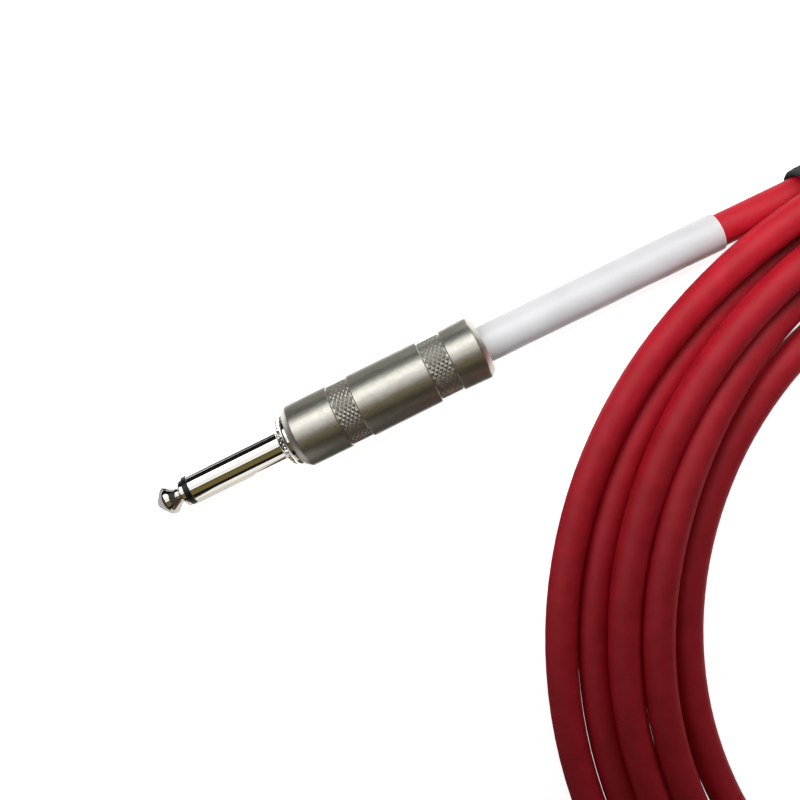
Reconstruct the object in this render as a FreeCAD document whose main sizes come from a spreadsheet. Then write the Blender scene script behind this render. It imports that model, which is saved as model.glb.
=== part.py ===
import FreeCAD, Part

import math
import os

import Sketcher
from FreeCAD import Placement, Rotation, Vector

# Instrument cable: a coiled lead with a straight two-pole 6.35 mm plug on each end.
#
# Frame: +Z is up and z = 0 is the surface that the cable lies on. Plug A points along -X and
# lies on that surface. Plug B points along -Y and lies on the coil. The origin is at the bottom
# centre of the box round the two plugs.
#
# A plug is drawn in its own frame: x runs from the front of its tip towards the cable, and z is
# up. All stations along a plug are distances from the front of the tip.

SIZES = {
    # Where the plugs lie
    "plug_a_tip_x": -112.25, "plug_a_y": 87.5, "plug_a_height": 6.6,
    "plug_b_tip_y": -94.1, "plug_b_x": 105.65, "plug_b_height": 14.9,
    # Tip contact with its centre rod
    "nose_radius": 0.6, "shoulder_front": 0.5, "shoulder_radius": 1.35,
    "ball_front": 2.4, "ball_rear": 2.9, "ball_radius": 3.05,
    "neck_front": 5.0, "neck_rear": 5.3, "neck_radius": 1.6,
    "rim_front": 5.9, "rim_rear": 6.7, "rim_radius": 2.85,
    "rod_radius": 1.2, "rod_head_front": 39.8, "rod_head_rear": 40.5, "rod_head_radius": 1.9,
    # Insulators and sleeve
    "rod_clearance_radius": 1.25, "sleeve_front": 7.9, "tip_insulator_radius": 3.0,
    "rod_insulator_radius": 2.2, "rod_insulator_rear": 39.3,
    "sleeve_radius": 3.175, "sleeve_bore_radius": 2.25,
    "collar_front": 28.1, "collar_front_radius": 4.45, "collar_radius": 5.5,
    "collar_bevel_rear": 29.2, "seat": 30.5, "shank_radius": 4.9, "shank_rear": 37.5,
    "boss_radius": 3.0, "boss_rear": 38.3,
    # Ground clamp: ring, arm and cable saddle
    "clamp_hole_radius": 3.05, "clamp_ring_radius": 4.0, "clamp_ring_thickness": 0.8,
    "arm_width": 2.4, "arm_bottom": -3.95, "arm_thickness": 0.6,
    "saddle_front": 53.0, "saddle_length": 4.5, "saddle_bore_radius": 3.3,
    "saddle_radius": 3.9, "saddle_angle": 240,
    # Tip lug and its washer
    "washer_radius": 3.2, "lug_ring_radius": 2.6, "lug_width": 1.6,
    "lug_arm_bottom": 2.0, "lug_arm_thickness": 0.5, "lug_rear": 45.5,
    # Solder joints
    "tip_solder_station": 44.0, "tip_solder_height": 1.05, "tip_solder_half_length": 1.8,
    "tip_solder_half_width": 1.3, "tip_solder_half_height": 1.4,
    "ground_solder_station": 46.5, "ground_solder_height": -2.9,
    "ground_solder_half_length": 1.6, "ground_solder_half_width": 1.1,
    "ground_solder_half_height": 0.9,
    # Cable end: stranded core, insulation, conductive layer, shield and jacket
    "core_front": 42.2, "core_radius": 0.45, "insulation_front": 46.0,
    "insulation_bore_radius": 0.48, "insulation_radius": 1.65,
    "conductive_front": 51.2, "conductive_bore_radius": 1.69, "conductive_radius": 2.1,
    "shield_front": 50.6, "shield_bore_radius": 2.14, "shield_radius": 2.4,
    "pigtail_front": 45.6, "pigtail_front_height": -2.85, "pigtail_length": 5.33,
    "pigtail_radius": 0.5, "pigtail_rise": 6.1,
    "jacket_front": 52.0, "jacket_bore_radius": 2.44, "jacket_end_rear": 82.5,
    "cable_radius": 3.25,
    # Heat-shrink boot
    "boot_front": 60.5, "boot_rear": 123.0, "boot_bore_radius": 3.3, "boot_radius": 3.75,
    # Insulating liner
    "liner_bore_radius": 4.5, "liner_end_clearance": 0.4, "liner_throat_clearance": 0.1,
    "liner_side_clearance": 0.1,
    # Barrel: its two grip bands are the faces that carry the knurl
    "barrel_length": 42.0, "barrel_bore_radius": 4.95, "barrel_nose_radius": 5.55,
    "barrel_radius": 6.6, "nose_bevel_length": 1.4,
    "front_band_offset": 10.3, "front_band_width": 4.6, "front_band_radius": 6.35,
    "waist_radius": 6.5, "rear_band_width": 4.8, "rear_band_radius": 6.1,
    "rear_grip_length": 7.1, "rear_start_radius": 6.35, "rear_end_radius": 6.5,
    "rear_bevel_length": 1.2, "barrel_rim_radius": 5.4,
    "throat_length": 5.0, "throat_radius": 4.05,
    # Coil and strap
    "coil_centre_x": 39.6, "coil_centre_y": -17.6, "coil_lead_length": 6.5,
    "coil_tail_length": 1.0,
    "strap_front": 27.7, "strap_width": 12.0, "strap_gap": 0.35, "strap_thickness": 1.05,
    "strap_tail_start": 66.9, "strap_tail_end": 82.4, "strap_tail_bottom": 5.5,
    "strap_tail_height": 16.0,
}


def derived_sizes(given):
    """Stations and radii that follow from the driving dimensions."""
    barrel_rear = given["seat"] + given["barrel_length"]
    barrel_throat = barrel_rear - given["throat_length"]
    rear_band_end = barrel_rear - given["rear_grip_length"]
    front_band_start = given["seat"] + given["front_band_offset"]
    return {
        "barrel_rear": barrel_rear,
        "barrel_throat": barrel_throat,
        "barrel_bevel_rear": given["seat"] + given["nose_bevel_length"],
        "front_band_start": front_band_start,
        "front_band_end": front_band_start + given["front_band_width"],
        "rear_band_start": rear_band_end - given["rear_band_width"],
        "rear_band_end": rear_band_end,
        "rear_bevel_start": barrel_rear - given["rear_bevel_length"],
        "liner_front": given["shank_rear"] + given["liner_end_clearance"],
        "liner_rear": barrel_throat - given["liner_throat_clearance"],
        "liner_radius": given["barrel_bore_radius"] - given["liner_side_clearance"],
    }


SIZES.update(derived_sizes(SIZES))

# The cable's free stretches, as points chosen by hand. Each starts at the plug, where the
# jacket end stops, and ends where the coil begins.
LEAD_A = [
    (-29.75, 87.5, 6.6),
    (-21.75, 87.5, 6.6),
    (-5.75, 88.8, 5.8),
    (10.05, 89.25, 5.0),
    (25.3, 87.8, 4.7),
    (33.1, 87.8, 4.7),
]
LEAD_B = [
    (105.65, -11.6, 14.9),
    (105.65, -3.6, 14.9),
    (103.0, 10.2, 14.9),
    (99.2, 20.8, 14.7),
    (93.9, 29.8, 14.3),
    (81.7, 44.7, 14.0),
    (72.9, 51.5, 11.7),
    (62.4, 59.3, 7.1),
    (50.5, 62.6, 4.7),
    (40.6, 62.6, 4.7),
]

# The coil's five turns run clockwise from the strap, the outermost first. At five places on each
# turn (a fraction of a turn from the strap) it has a radius and a height of its own: at the
# strap the turns bunch up and two ride on the others, then they fan out and lie flat.
TURNS = 5
COIL_PLACES = {
    "strap": (0.0, [105.4, 103.1, 98.0, 95.8, 90.6], [4.7, 11.55, 4.7, 11.55, 4.7]),
    "after": (0.125, [100.0, 92.4, 85.2, 78.5, 72.3], [3.6, 7.0, 3.6, 8.7, 3.5]),
    "far": (0.375, [79.0, 71.8, 64.6, 57.4, 50.0], [3.3, 3.3, 3.3, 3.3, 3.3]),
    "near": (0.625, [95.4, 88.0, 80.4, 73.4, 67.4], [3.3, 3.3, 4.1, 8.5, 3.3]),
    "fan": (0.875, [102.8, 95.2, 90.1, 82.2, 77.0], [3.9, 3.3, 8.5, 9.1, 3.3]),
}
COIL_END = (80.2, 4.7)

# The cable centres that the strap is drawn tight round, as (y, z) at the strap, anticlockwise
STRAPPED = [(62.0, 4.7), (87.8, 4.7), (85.5, 11.5), (78.1, 11.5)]

RUN_SHARE = 0.45
LEAST_COIL_GAP = 0.4
SAMPLES_PER_ARC = 16

document = FreeCAD.newDocument("InstrumentCable")
sheet = document.addObject("Spreadsheet::Sheet", "Sizes")
nodes = []


def fill_sheet():
    """Write every driving dimension to the sheet, with its name as the cell's alias."""
    row = 1
    for name, value in SIZES.items():
        sheet.set(f"A{row}", name)
        sheet.set(f"B{row}", str(value))
        sheet.setAlias(f"B{row}", name)
        row += 1
    for place, (fraction, radii, heights) in COIL_PLACES.items():
        for turn in range(TURNS):
            for name, value in (("radius", radii[turn]), ("height", heights[turn])):
                sheet.set(f"A{row}", f"{place}_{name}_{turn}")
                sheet.set(f"B{row}", str(value))
                sheet.setAlias(f"B{row}", f"{place}_{name}_{turn}")
                row += 1
    document.recompute()


def size(name):
    """A dimension's value, read back from the sheet."""
    return float(sheet.get(name))


def formula(text):
    """The same formula with each word of it read as a cell of the sheet."""
    return " ".join(f"Sizes.{word}" if word[0].isalpha() else word for word in text.split())


def bind(item, **formulas):
    """Bind properties of an object to formulas over the sheet's cells."""
    for name, text in formulas.items():
        item.setExpression(name.replace("__", "."), formula(text))
    return item


def keep(item, label, placement):
    """Name a finished sub-part, put it in its place and list it for export."""
    item.Label = label
    item.Placement = placement
    nodes.append(item)
    return item


# Turned pieces: a sketch of the half section, revolved about the plug's axis

def fix_corner(sketch, edge, end, station, radius):
    """Hold one corner of the half section at its station and radius."""
    origin = (-1, 1)
    if station == 0:
        sketch.addConstraint(Sketcher.Constraint("PointOnObject", edge, end, -2))
    else:
        index = sketch.addConstraint(
            Sketcher.Constraint("DistanceX", *origin, edge, end, size(station)))
        sketch.setExpression(f"Constraints[{index}]", formula(station))
    if radius == 0:
        sketch.addConstraint(Sketcher.Constraint("PointOnObject", edge, end, -1))
    else:
        index = sketch.addConstraint(
            Sketcher.Constraint("DistanceY", *origin, edge, end, size(radius)))
        sketch.setExpression(f"Constraints[{index}]", formula(radius))


def turned(label, placement, outline):
    """Revolve a half section, given as corners of (station, radius) named in the sheet."""
    body = document.addObject("PartDesign::Body", label)
    sketch = body.newObject("Sketcher::SketchObject", f"{label}_section")
    plane = next(item for item in body.Origin.OriginFeatures if item.Role == "XY_Plane")
    sketch.AttachmentSupport = [(plane, "")]
    sketch.MapMode = "FlatFace"
    corners = [
        Vector(size(station) if station else 0, size(radius) if radius else 0, 0)
        for station, radius in outline
    ]
    for start, end in zip(corners, corners[1:] + corners[:1]):
        sketch.addGeometry(Part.LineSegment(start, end), False)
    count = len(corners)
    for edge in range(count):
        sketch.addConstraint(Sketcher.Constraint("Coincident", edge, 2, (edge + 1) % count, 1))
    for edge, (station, radius) in enumerate(outline):
        fix_corner(sketch, edge, 1, station, radius)
    revolution = body.newObject("PartDesign::Revolution", f"{label}_turning")
    revolution.Profile = sketch
    revolution.ReferenceAxis = (sketch, ["H_Axis"])
    revolution.Angle = 360
    sketch.Visibility = False
    return keep(body, label, placement)


def tube_piece(label, placement, front, rear, bore, outside):
    """A plain turned tube between two stations."""
    return turned(label, placement, [
        (front, bore), (front, outside), (rear, outside), (rear, bore),
    ])


def tip_contact(label, placement):
    """The rounded tip, its ball and neck, and the rod that runs back through the sleeve."""
    return turned(label, placement, [
        (0, 0), (0, "nose_radius"), ("shoulder_front", "shoulder_radius"),
        ("ball_front", "ball_radius"), ("ball_rear", "ball_radius"),
        ("neck_front", "neck_radius"), ("neck_rear", "neck_radius"),
        ("rim_front", "rim_radius"), ("rim_rear", "rim_radius"),
        ("rim_rear", "rod_radius"), ("rod_head_front", "rod_radius"),
        ("rod_head_front", "rod_head_radius"), ("rod_head_rear", "rod_head_radius"),
        ("rod_head_rear", 0),
    ])


def sleeve_body(label, placement):
    """The sleeve, its milled collar, the shank that the barrel screws on, and the boss."""
    return turned(label, placement, [
        ("sleeve_front", "sleeve_bore_radius"), ("sleeve_front", "sleeve_radius"),
        ("collar_front", "sleeve_radius"), ("collar_front", "collar_front_radius"),
        ("collar_bevel_rear", "collar_radius"), ("seat", "collar_radius"),
        ("seat", "shank_radius"), ("shank_rear", "shank_radius"),
        ("shank_rear", "boss_radius"), ("boss_rear", "boss_radius"),
        ("boss_rear", "sleeve_bore_radius"),
    ])


def barrel(label, placement):
    """The handle: bevelled ends, two grip bands, a wide bore and a narrow rear throat."""
    return turned(label, placement, [
        ("seat", "barrel_bore_radius"), ("seat", "barrel_nose_radius"),
        ("barrel_bevel_rear", "barrel_radius"), ("front_band_start", "barrel_radius"),
        ("front_band_start", "front_band_radius"), ("front_band_end", "front_band_radius"),
        ("front_band_end", "barrel_radius"), ("rear_band_start", "waist_radius"),
        ("rear_band_start", "rear_band_radius"), ("rear_band_end", "rear_band_radius"),
        ("rear_band_end", "rear_start_radius"), ("rear_bevel_start", "rear_end_radius"),
        ("barrel_rear", "barrel_rim_radius"), ("barrel_rear", "throat_radius"),
        ("barrel_throat", "throat_radius"), ("barrel_throat", "barrel_bore_radius"),
    ])


# Pieces made of blocks, bars and balls: stamped lugs, the pigtail and the solder joints

def round_bar(name, front, length, radius):
    """A cylinder along the plug's axis."""
    bar = document.addObject("Part::Cylinder", name)
    bar.Placement = Placement(Vector(), Rotation(Vector(0, 1, 0), 90))
    return bind(bar, Radius=radius, Height=length, Placement__Base__x=front)


def flat_bar(name, front, length, width, bottom, thickness):
    """A strip along the plug's axis, centred across it."""
    bar = document.addObject("Part::Box", name)
    return bind(
        bar, Length=length, Width=width, Height=thickness, Placement__Base__x=front,
        Placement__Base__y=f"0 - {width} / 2", Placement__Base__z=bottom)


def blob(name, joint):
    """A solder joint as an ellipsoid, sized by the cells that start with its name."""
    ball = document.addObject("Part::Ellipsoid", name)
    ball.Angle1 = -90
    ball.Angle2 = 90
    ball.Angle3 = 360
    return bind(
        ball, Radius1=f"{joint}_half_height", Radius2=f"{joint}_half_length",
        Radius3=f"{joint}_half_width", Placement__Base__x=f"{joint}_station",
        Placement__Base__z=f"{joint}_height")


def joined(name, pieces):
    """One fused object of several."""
    fused = document.addObject("Part::MultiFuse", name)
    fused.Shapes = pieces
    return fused


def cut(name, base, tool):
    """The base less the tool."""
    result = document.addObject("Part::Cut", name)
    result.Base = base
    result.Tool = tool
    return result


def ground_clamp(side, placement):
    """Washer ring on the boss, an arm back from it, and a saddle bent round the jacket."""
    ring = round_bar(
        f"clamp_ring_{side}", "shank_rear", "clamp_ring_thickness", "clamp_ring_radius")
    hole = round_bar(
        f"clamp_hole_{side}", "shank_rear", "clamp_ring_thickness", "clamp_hole_radius")
    saddle = round_bar(f"saddle_{side}", "saddle_front", "saddle_length", "saddle_radius")
    bind(saddle, Angle="saddle_angle")
    opening_up = Rotation(Vector(0, 0, 1), -size("saddle_angle") / 2)
    saddle.Placement.Rotation = Rotation(Vector(0, 1, 0), 90).multiply(opening_up)
    saddle_bore = round_bar(
        f"saddle_bore_{side}", "saddle_front", "saddle_length", "saddle_bore_radius")
    metal = joined(f"clamp_blank_{side}", [ring, clamp_arm(side), saddle])
    holes = joined(f"clamp_holes_{side}", [hole, saddle_bore])
    keep(cut(f"clamp_{side}", metal, holes), f"ground_clamp_{side}", placement)


def clamp_arm(side):
    """The flat arm between the clamp's ring and its saddle."""
    reach = "saddle_front + saddle_length - shank_rear"
    return flat_bar(
        f"clamp_arm_{side}", "shank_rear", reach, "arm_width", "arm_bottom", "arm_thickness")


def lug_arm(side):
    """The strip that the core conductor is soldered under."""
    return flat_bar(
        f"lug_arm_{side}", "rod_insulator_rear", "lug_rear - rod_insulator_rear",
        "lug_width", "lug_arm_bottom", "lug_arm_thickness")


def tip_lug(side, placement):
    """A ring held by the rod's peened head, with a strip for the core conductor."""
    thickness = "rod_head_front - rod_insulator_rear"
    ring = round_bar(f"lug_ring_{side}", "rod_insulator_rear", thickness, "lug_ring_radius")
    hole = round_bar(
        f"lug_hole_{side}", "rod_insulator_rear", thickness, "rod_clearance_radius")
    blank = joined(f"lug_blank_{side}", [ring, lug_arm(side)])
    keep(cut(f"lug_{side}", blank, hole), f"tip_lug_{side}", placement)


def pigtail(side):
    """The shield's wires, twisted together and led down to the ground arm."""
    wires = round_bar(f"pigtail_{side}", "pigtail_front", "pigtail_length", "pigtail_radius")
    wires.Placement.Rotation = Rotation(Vector(0, 1, 0), 90 - size("pigtail_rise"))
    return bind(wires, Placement__Base__z="pigtail_front_height")


def cable_shield(side, placement):
    """The braid round the core, with its pigtail."""
    length = "jacket_end_rear - shield_front"
    outside = round_bar(f"shield_outside_{side}", "shield_front", length, "shield_radius")
    blank = joined(f"shield_blank_{side}", [outside, pigtail(side)])
    bore = round_bar(f"shield_bore_{side}", "shield_front", length, "shield_bore_radius")
    keep(cut(f"shield_{side}", blank, bore), f"cable_shield_{side}", placement)


def solder_joints(side, placement):
    """Solder between tip lug and core, and between ground arm and pigtail."""
    core = round_bar(
        f"core_in_solder_{side}", "core_front", "insulation_front - core_front", "core_radius")
    tip_metal = joined(f"tip_joint_metal_{side}", [lug_arm(f"joint_{side}"), core])
    tip = cut(f"tip_joint_{side}", blob(f"tip_ball_{side}", "tip_solder"), tip_metal)
    keep(tip, f"tip_solder_{side}", placement)
    arm = clamp_arm(f"joint_{side}")
    ground_metal = joined(f"ground_joint_metal_{side}", [arm, pigtail(f"joint_{side}")])
    ground = cut(
        f"ground_joint_{side}", blob(f"ground_ball_{side}", "ground_solder"), ground_metal)
    keep(ground, f"ground_solder_{side}", placement)


def make_plug(side, placement):
    """Every piece of one plug except its boot."""
    tip_contact(f"tip_contact_{side}", placement)
    tube_piece(f"tip_insulator_{side}", placement, "rim_rear", "sleeve_front",
               "rod_clearance_radius", "tip_insulator_radius")
    tube_piece(f"rod_insulator_{side}", placement, "sleeve_front", "rod_insulator_rear",
               "rod_clearance_radius", "rod_insulator_radius")
    sleeve_body(f"sleeve_body_{side}", placement)
    ground_clamp(side, placement)
    tube_piece(f"insulating_washer_{side}", placement, "boss_rear", "rod_insulator_rear",
               "sleeve_bore_radius", "washer_radius")
    tip_lug(side, placement)
    solder_joints(side, placement)
    turned(f"core_conductor_{side}", placement, [
        ("core_front", 0), ("core_front", "core_radius"),
        ("jacket_end_rear", "core_radius"), ("jacket_end_rear", 0),
    ])
    tube_piece(f"core_insulation_{side}", placement, "insulation_front", "jacket_end_rear",
               "insulation_bore_radius", "insulation_radius")
    tube_piece(f"conductive_layer_{side}", placement, "conductive_front", "jacket_end_rear",
               "conductive_bore_radius", "conductive_radius")
    cable_shield(side, placement)
    tube_piece(f"jacket_end_{side}", placement, "jacket_front", "jacket_end_rear",
               "jacket_bore_radius", "cable_radius")
    tube_piece(f"insulating_liner_{side}", placement, "liner_front", "liner_rear",
               "liner_bore_radius", "liner_radius")
    barrel(f"barrel_{side}", placement)


# Cable, boots and strap: shapes that follow a route

def rounded_route(name, points):
    """The edges of straight runs joined by tangent arcs at the route's corners."""
    points = [Vector(*point) for point in points]
    edges = []
    radii = []
    start = points[0]
    for before, corner, after in zip(points, points[1:], points[2:]):
        arriving = (corner - before).normalize()
        leaving = (after - corner).normalize()
        half_turn = arriving.getAngle(leaving) / 2
        setback = RUN_SHARE * min((corner - before).Length, (after - corner).Length)
        radius = setback / math.tan(half_turn)
        inward = (leaving - arriving).normalize()
        arc_start = corner - arriving * setback
        arc_middle = corner + inward * radius * (1 / math.cos(half_turn) - 1)
        arc_end = corner + leaving * setback
        edges.append(Part.LineSegment(start, arc_start).toShape())
        edges.append(Part.Arc(arc_start, arc_middle, arc_end).toShape())
        radii.append(round(radius, 1))
        start = arc_end
    edges.append(Part.LineSegment(start, points[-1]).toShape())
    print(name, "bend radii", radii)
    return edges


def first_stretch(edges, length):
    """The edges of a route as far as a length along it."""
    kept = []
    for edge in edges:
        if length <= edge.Length:
            last = edge.getParameterByLength(length)
            kept.append(edge.Curve.toShape(edge.FirstParameter, last))
            return kept
        kept.append(edge)
        length -= edge.Length
    return kept


def tube_along(edges, radius):
    """A round tube along a route, with its volume compared with section by length."""
    route = Part.Wire(edges)
    start = edges[0].valueAt(edges[0].FirstParameter)
    direction = edges[0].tangentAt(edges[0].FirstParameter)
    section = Part.Wire([Part.Circle(start, direction, radius).toShape()])
    tube = route.makePipeShell([section], True, False)
    expected = math.pi * radius ** 2 * route.Length
    if abs(tube.Volume / expected - 1) > 0.01:
        raise ValueError(f"tube volume {tube.Volume:.0f}, expected {expected:.0f}")
    return tube


def keep_shape(label, shape):
    """Keep a shape that follows a route, as an object of the document."""
    item = document.addObject("Part::Feature", label)
    item.Shape = shape
    return keep(item, label, Placement())


def lead_and_boot(side, points, placement):
    """One free stretch of cable, and the boot that covers its first part."""
    lead = rounded_route(f"lead_{side}", points)
    keep_shape(f"lead_{side}", tube_along(lead, size("cable_radius")))
    boot_start = placement.multVec(Vector(size("boot_front"), 0, 0))
    lead_start = Vector(*points[0])
    inside_plug = Part.LineSegment(boot_start, lead_start).toShape()
    covered = size("boot_rear") - size("jacket_end_rear")
    route = [inside_plug] + first_stretch(lead, covered)
    outside = tube_along(route, size("boot_radius"))
    keep_shape(f"heatshrink_boot_{side}", outside.cut(tube_along(route, size("boot_bore_radius"))))
    print(f"lead_{side} length", round(Part.Wire(lead).Length, 1))
    return Part.Wire(lead).Length


def coil_places():
    """Turn count, radius and height at each place along the coil, from start to end."""
    places = []
    for turn in range(TURNS):
        for place, (fraction, radii, heights) in COIL_PLACES.items():
            radius = size(f"{place}_radius_{turn}")
            places.append((turn + fraction, radius, size(f"{place}_height_{turn}")))
    return places + [(TURNS, *COIL_END)]


def slopes(counts, values):
    """Slope of a smooth curve at each value: level at a peak or dip, and at both ends."""
    steps = [
        (after - before) / (later - earlier)
        for before, after, earlier, later in zip(values, values[1:], counts, counts[1:])
    ]
    inner = [
        2 * left * right / (left + right) if left * right > 0 else 0.0
        for left, right in zip(steps, steps[1:])
    ]
    return [0.0] + inner + [0.0]


def coil_frames():
    """Point and direction of the cable at each place along the coil."""
    counts, radii, heights = zip(*coil_places())
    frames = []
    for count, radius, height, spread, climb in zip(
            counts, radii, heights, slopes(counts, radii), slopes(counts, heights)):
        angle = math.pi / 2 - 2 * math.pi * count
        outward = Vector(math.cos(angle), math.sin(angle), 0)
        forward = Vector(math.sin(angle), -math.cos(angle), 0)
        centre = Vector(size("coil_centre_x"), size("coil_centre_y"), height)
        direction = outward * spread + forward * (2 * math.pi * radius) + Vector(0, 0, climb)
        frames.append((centre + outward * radius, direction.normalize()))
    return frames


def biarc(start, start_direction, end, end_direction):
    """Two arcs that leave one point along its direction and reach the next along its own."""
    chord = end - start
    together = start_direction + end_direction
    square = 2 * (1 - start_direction.dot(end_direction))
    linear = 2 * chord.dot(together)
    reach = (math.sqrt(linear ** 2 + 4 * square * chord.dot(chord)) - linear) / (2 * square)
    first_corner = start + start_direction * reach
    second_corner = end - end_direction * reach
    meeting = (first_corner + second_corner) / 2
    return [
        arc_by_corner(start, first_corner, meeting),
        arc_by_corner(meeting, second_corner, end),
    ]


def arc_by_corner(start, corner, end):
    """The arc that touches both sides of a corner at two points equally far from it."""
    arriving = (corner - start).normalize()
    leaving = (end - corner).normalize()
    half_turn = arriving.getAngle(leaving) / 2
    radius = (corner - start).Length / math.tan(half_turn)
    inward = (leaving - arriving).normalize()
    middle = corner + inward * radius * (1 / math.cos(half_turn) - 1)
    return Part.Arc(start, middle, end).toShape()


def coil_edges():
    """A short straight length, five turns of arcs, and a short straight length."""
    frames = coil_frames()
    first, first_direction = frames[0]
    last, last_direction = frames[-1]
    edges = [Part.LineSegment(first - first_direction * size("coil_lead_length"), first).toShape()]
    for (start, start_direction), (end, end_direction) in zip(frames, frames[1:]):
        edges += biarc(start, start_direction, end, end_direction)
    edges.append(Part.LineSegment(last, last + last_direction * size("coil_tail_length")).toShape())
    return edges


def least_gap(edges):
    """Least gap between turns, over points on the route that are far apart along it."""
    points = []
    travelled = 0.0
    for edge in edges:
        span = edge.LastParameter - edge.FirstParameter
        for index in range(SAMPLES_PER_ARC):
            share = index / SAMPLES_PER_ARC
            point = edge.valueAt(edge.FirstParameter + span * share)
            points.append((travelled + share * edge.Length, point))
        travelled += edge.Length
    half_turn = travelled / TURNS / 2
    nearest = min(
        (there - here).Length
        for index, (station, here) in enumerate(points)
        for other, there in points[index + 1:]
        if other - station > half_turn
    )
    return nearest - 2 * size("cable_radius")


def cable_coil():
    """The five turns as one unbroken tube."""
    edges = coil_edges()
    gap = least_gap(edges)
    length = Part.Wire(edges).Length
    print("coil length", round(length, 1), "least gap", round(gap, 2))
    if gap < LEAST_COIL_GAP:
        raise ValueError("the coil's turns are too close")
    keep_shape("cable_coil", tube_along(edges, size("cable_radius")))
    return length


def belt(distance):
    """A face at the strap's front, drawn tight at a distance round the strapped cables."""
    front = size("strap_front")
    centres = [Vector(front, y, z) for y, z in STRAPPED]
    sides = [
        (after - before).normalize()
        for before, after in zip(centres, centres[1:] + centres[:1])
    ]
    out = [Vector(0, side.z, -side.y) * distance for side in sides]
    edges = []
    for index, centre in enumerate(centres):
        round_middle = (out[index - 1] + out[index]).normalize() * distance
        edges.append(Part.Arc(
            centre + out[index - 1], centre + round_middle, centre + out[index]).toShape())
        following = centres[(index + 1) % len(centres)]
        edges.append(Part.LineSegment(centre + out[index], following + out[index]).toShape())
    return Part.Face(Part.Wire(edges))


def cable_tie():
    """The hook-and-loop strap: one wrap round the bundle, and its free end lapped over it."""
    inside = size("cable_radius") + size("strap_gap")
    thickness = size("strap_thickness")
    along = Vector(size("strap_width"), 0, 0)
    wrap = belt(inside + thickness).extrude(along).cut(belt(inside).extrude(along))
    lap = belt(inside + 2 * thickness).extrude(along)
    lap = lap.cut(belt(inside + thickness / 2).extrude(along))
    window = Part.makeBox(
        size("strap_width"), size("strap_tail_end") - size("strap_tail_start"),
        size("strap_tail_height"),
        Vector(size("strap_front"), size("strap_tail_start"), size("strap_tail_bottom")))
    keep_shape("cable_tie", wrap.fuse(lap.common(window)).removeSplitter())


# The whole cable

def check_document():
    """Stop if any object failed, or any sub-part isn't one valid solid."""
    for item in document.Objects:
        if "Invalid" in item.State or "Error" in item.State:
            raise ValueError(f"{item.Label} failed: {item.State}")
    for item in nodes:
        if item.Shape.isNull() or not item.Shape.isValid() or len(item.Shape.Solids) != 1:
            raise ValueError(f"{item.Label} isn't one valid solid")


def report_boxes():
    """Print the box round the plugs' own pieces and the box round everything."""
    on_the_cable = ("lead_", "cable_coil", "cable_tie")
    for name, chosen in (
            ("plugs", [item for item in nodes if not item.Label.startswith(on_the_cable)]),
            ("all", nodes)):
        box = FreeCAD.BoundBox()
        for item in chosen:
            box.add(item.Shape.optimalBoundingBox())
        centre = box.Center
        print(name, "box", [round(side, 2) for side in (box.XLength, box.YLength, box.ZLength)],
              "centre", [round(part, 2) for part in (centre.x, centre.y)],
              "bottom", round(box.ZMin, 2))


fill_sheet()
plug_a = Placement(
    Vector(size("plug_a_tip_x"), size("plug_a_y"), size("plug_a_height")), Rotation())
plug_b = Placement(
    Vector(size("plug_b_x"), size("plug_b_tip_y"), size("plug_b_height")),
    Rotation(Vector(0, 0, 1), 90))
make_plug("a", plug_a)
make_plug("b", plug_b)
cable_length = 2 * (size("jacket_end_rear") - size("jacket_front"))
cable_length += lead_and_boot("a", LEAD_A, plug_a)
cable_length += lead_and_boot("b", LEAD_B, plug_b)
cable_length += cable_coil()
cable_tie()
document.recompute()
check_document()
report_boxes()
print("jacketed cable length", round(cable_length, 1))

os.makedirs("parts", exist_ok=True)
for item in nodes:
    item.Shape.exportStep(f"parts/{item.Label}.step")
print("wrote", len(nodes), "parts")
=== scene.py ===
import math

import bmesh
import bpy
import mathutils.noise
from mathutils import Matrix, Vector


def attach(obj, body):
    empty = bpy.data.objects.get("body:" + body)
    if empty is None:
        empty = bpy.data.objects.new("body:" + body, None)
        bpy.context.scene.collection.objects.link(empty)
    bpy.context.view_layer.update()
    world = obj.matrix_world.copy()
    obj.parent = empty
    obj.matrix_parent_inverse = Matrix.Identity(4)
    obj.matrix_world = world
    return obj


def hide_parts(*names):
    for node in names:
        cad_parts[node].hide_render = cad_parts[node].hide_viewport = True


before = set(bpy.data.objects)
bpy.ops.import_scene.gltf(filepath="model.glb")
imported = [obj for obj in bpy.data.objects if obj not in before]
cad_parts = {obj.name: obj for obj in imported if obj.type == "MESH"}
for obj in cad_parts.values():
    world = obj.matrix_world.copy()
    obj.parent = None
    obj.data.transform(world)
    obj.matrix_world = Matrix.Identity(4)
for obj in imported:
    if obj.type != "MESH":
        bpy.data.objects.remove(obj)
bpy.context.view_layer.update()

# Instrument cable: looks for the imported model, in metres and in its frame.
#
# A plug is drawn in its own frame, as in the CAD: x runs from the front of its tip towards the
# cable, and z is up. place_plug() turns and moves a finished mesh to its plug.

MM = 0.001
MAIN_BODY = "cable_and_plugs"

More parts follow.
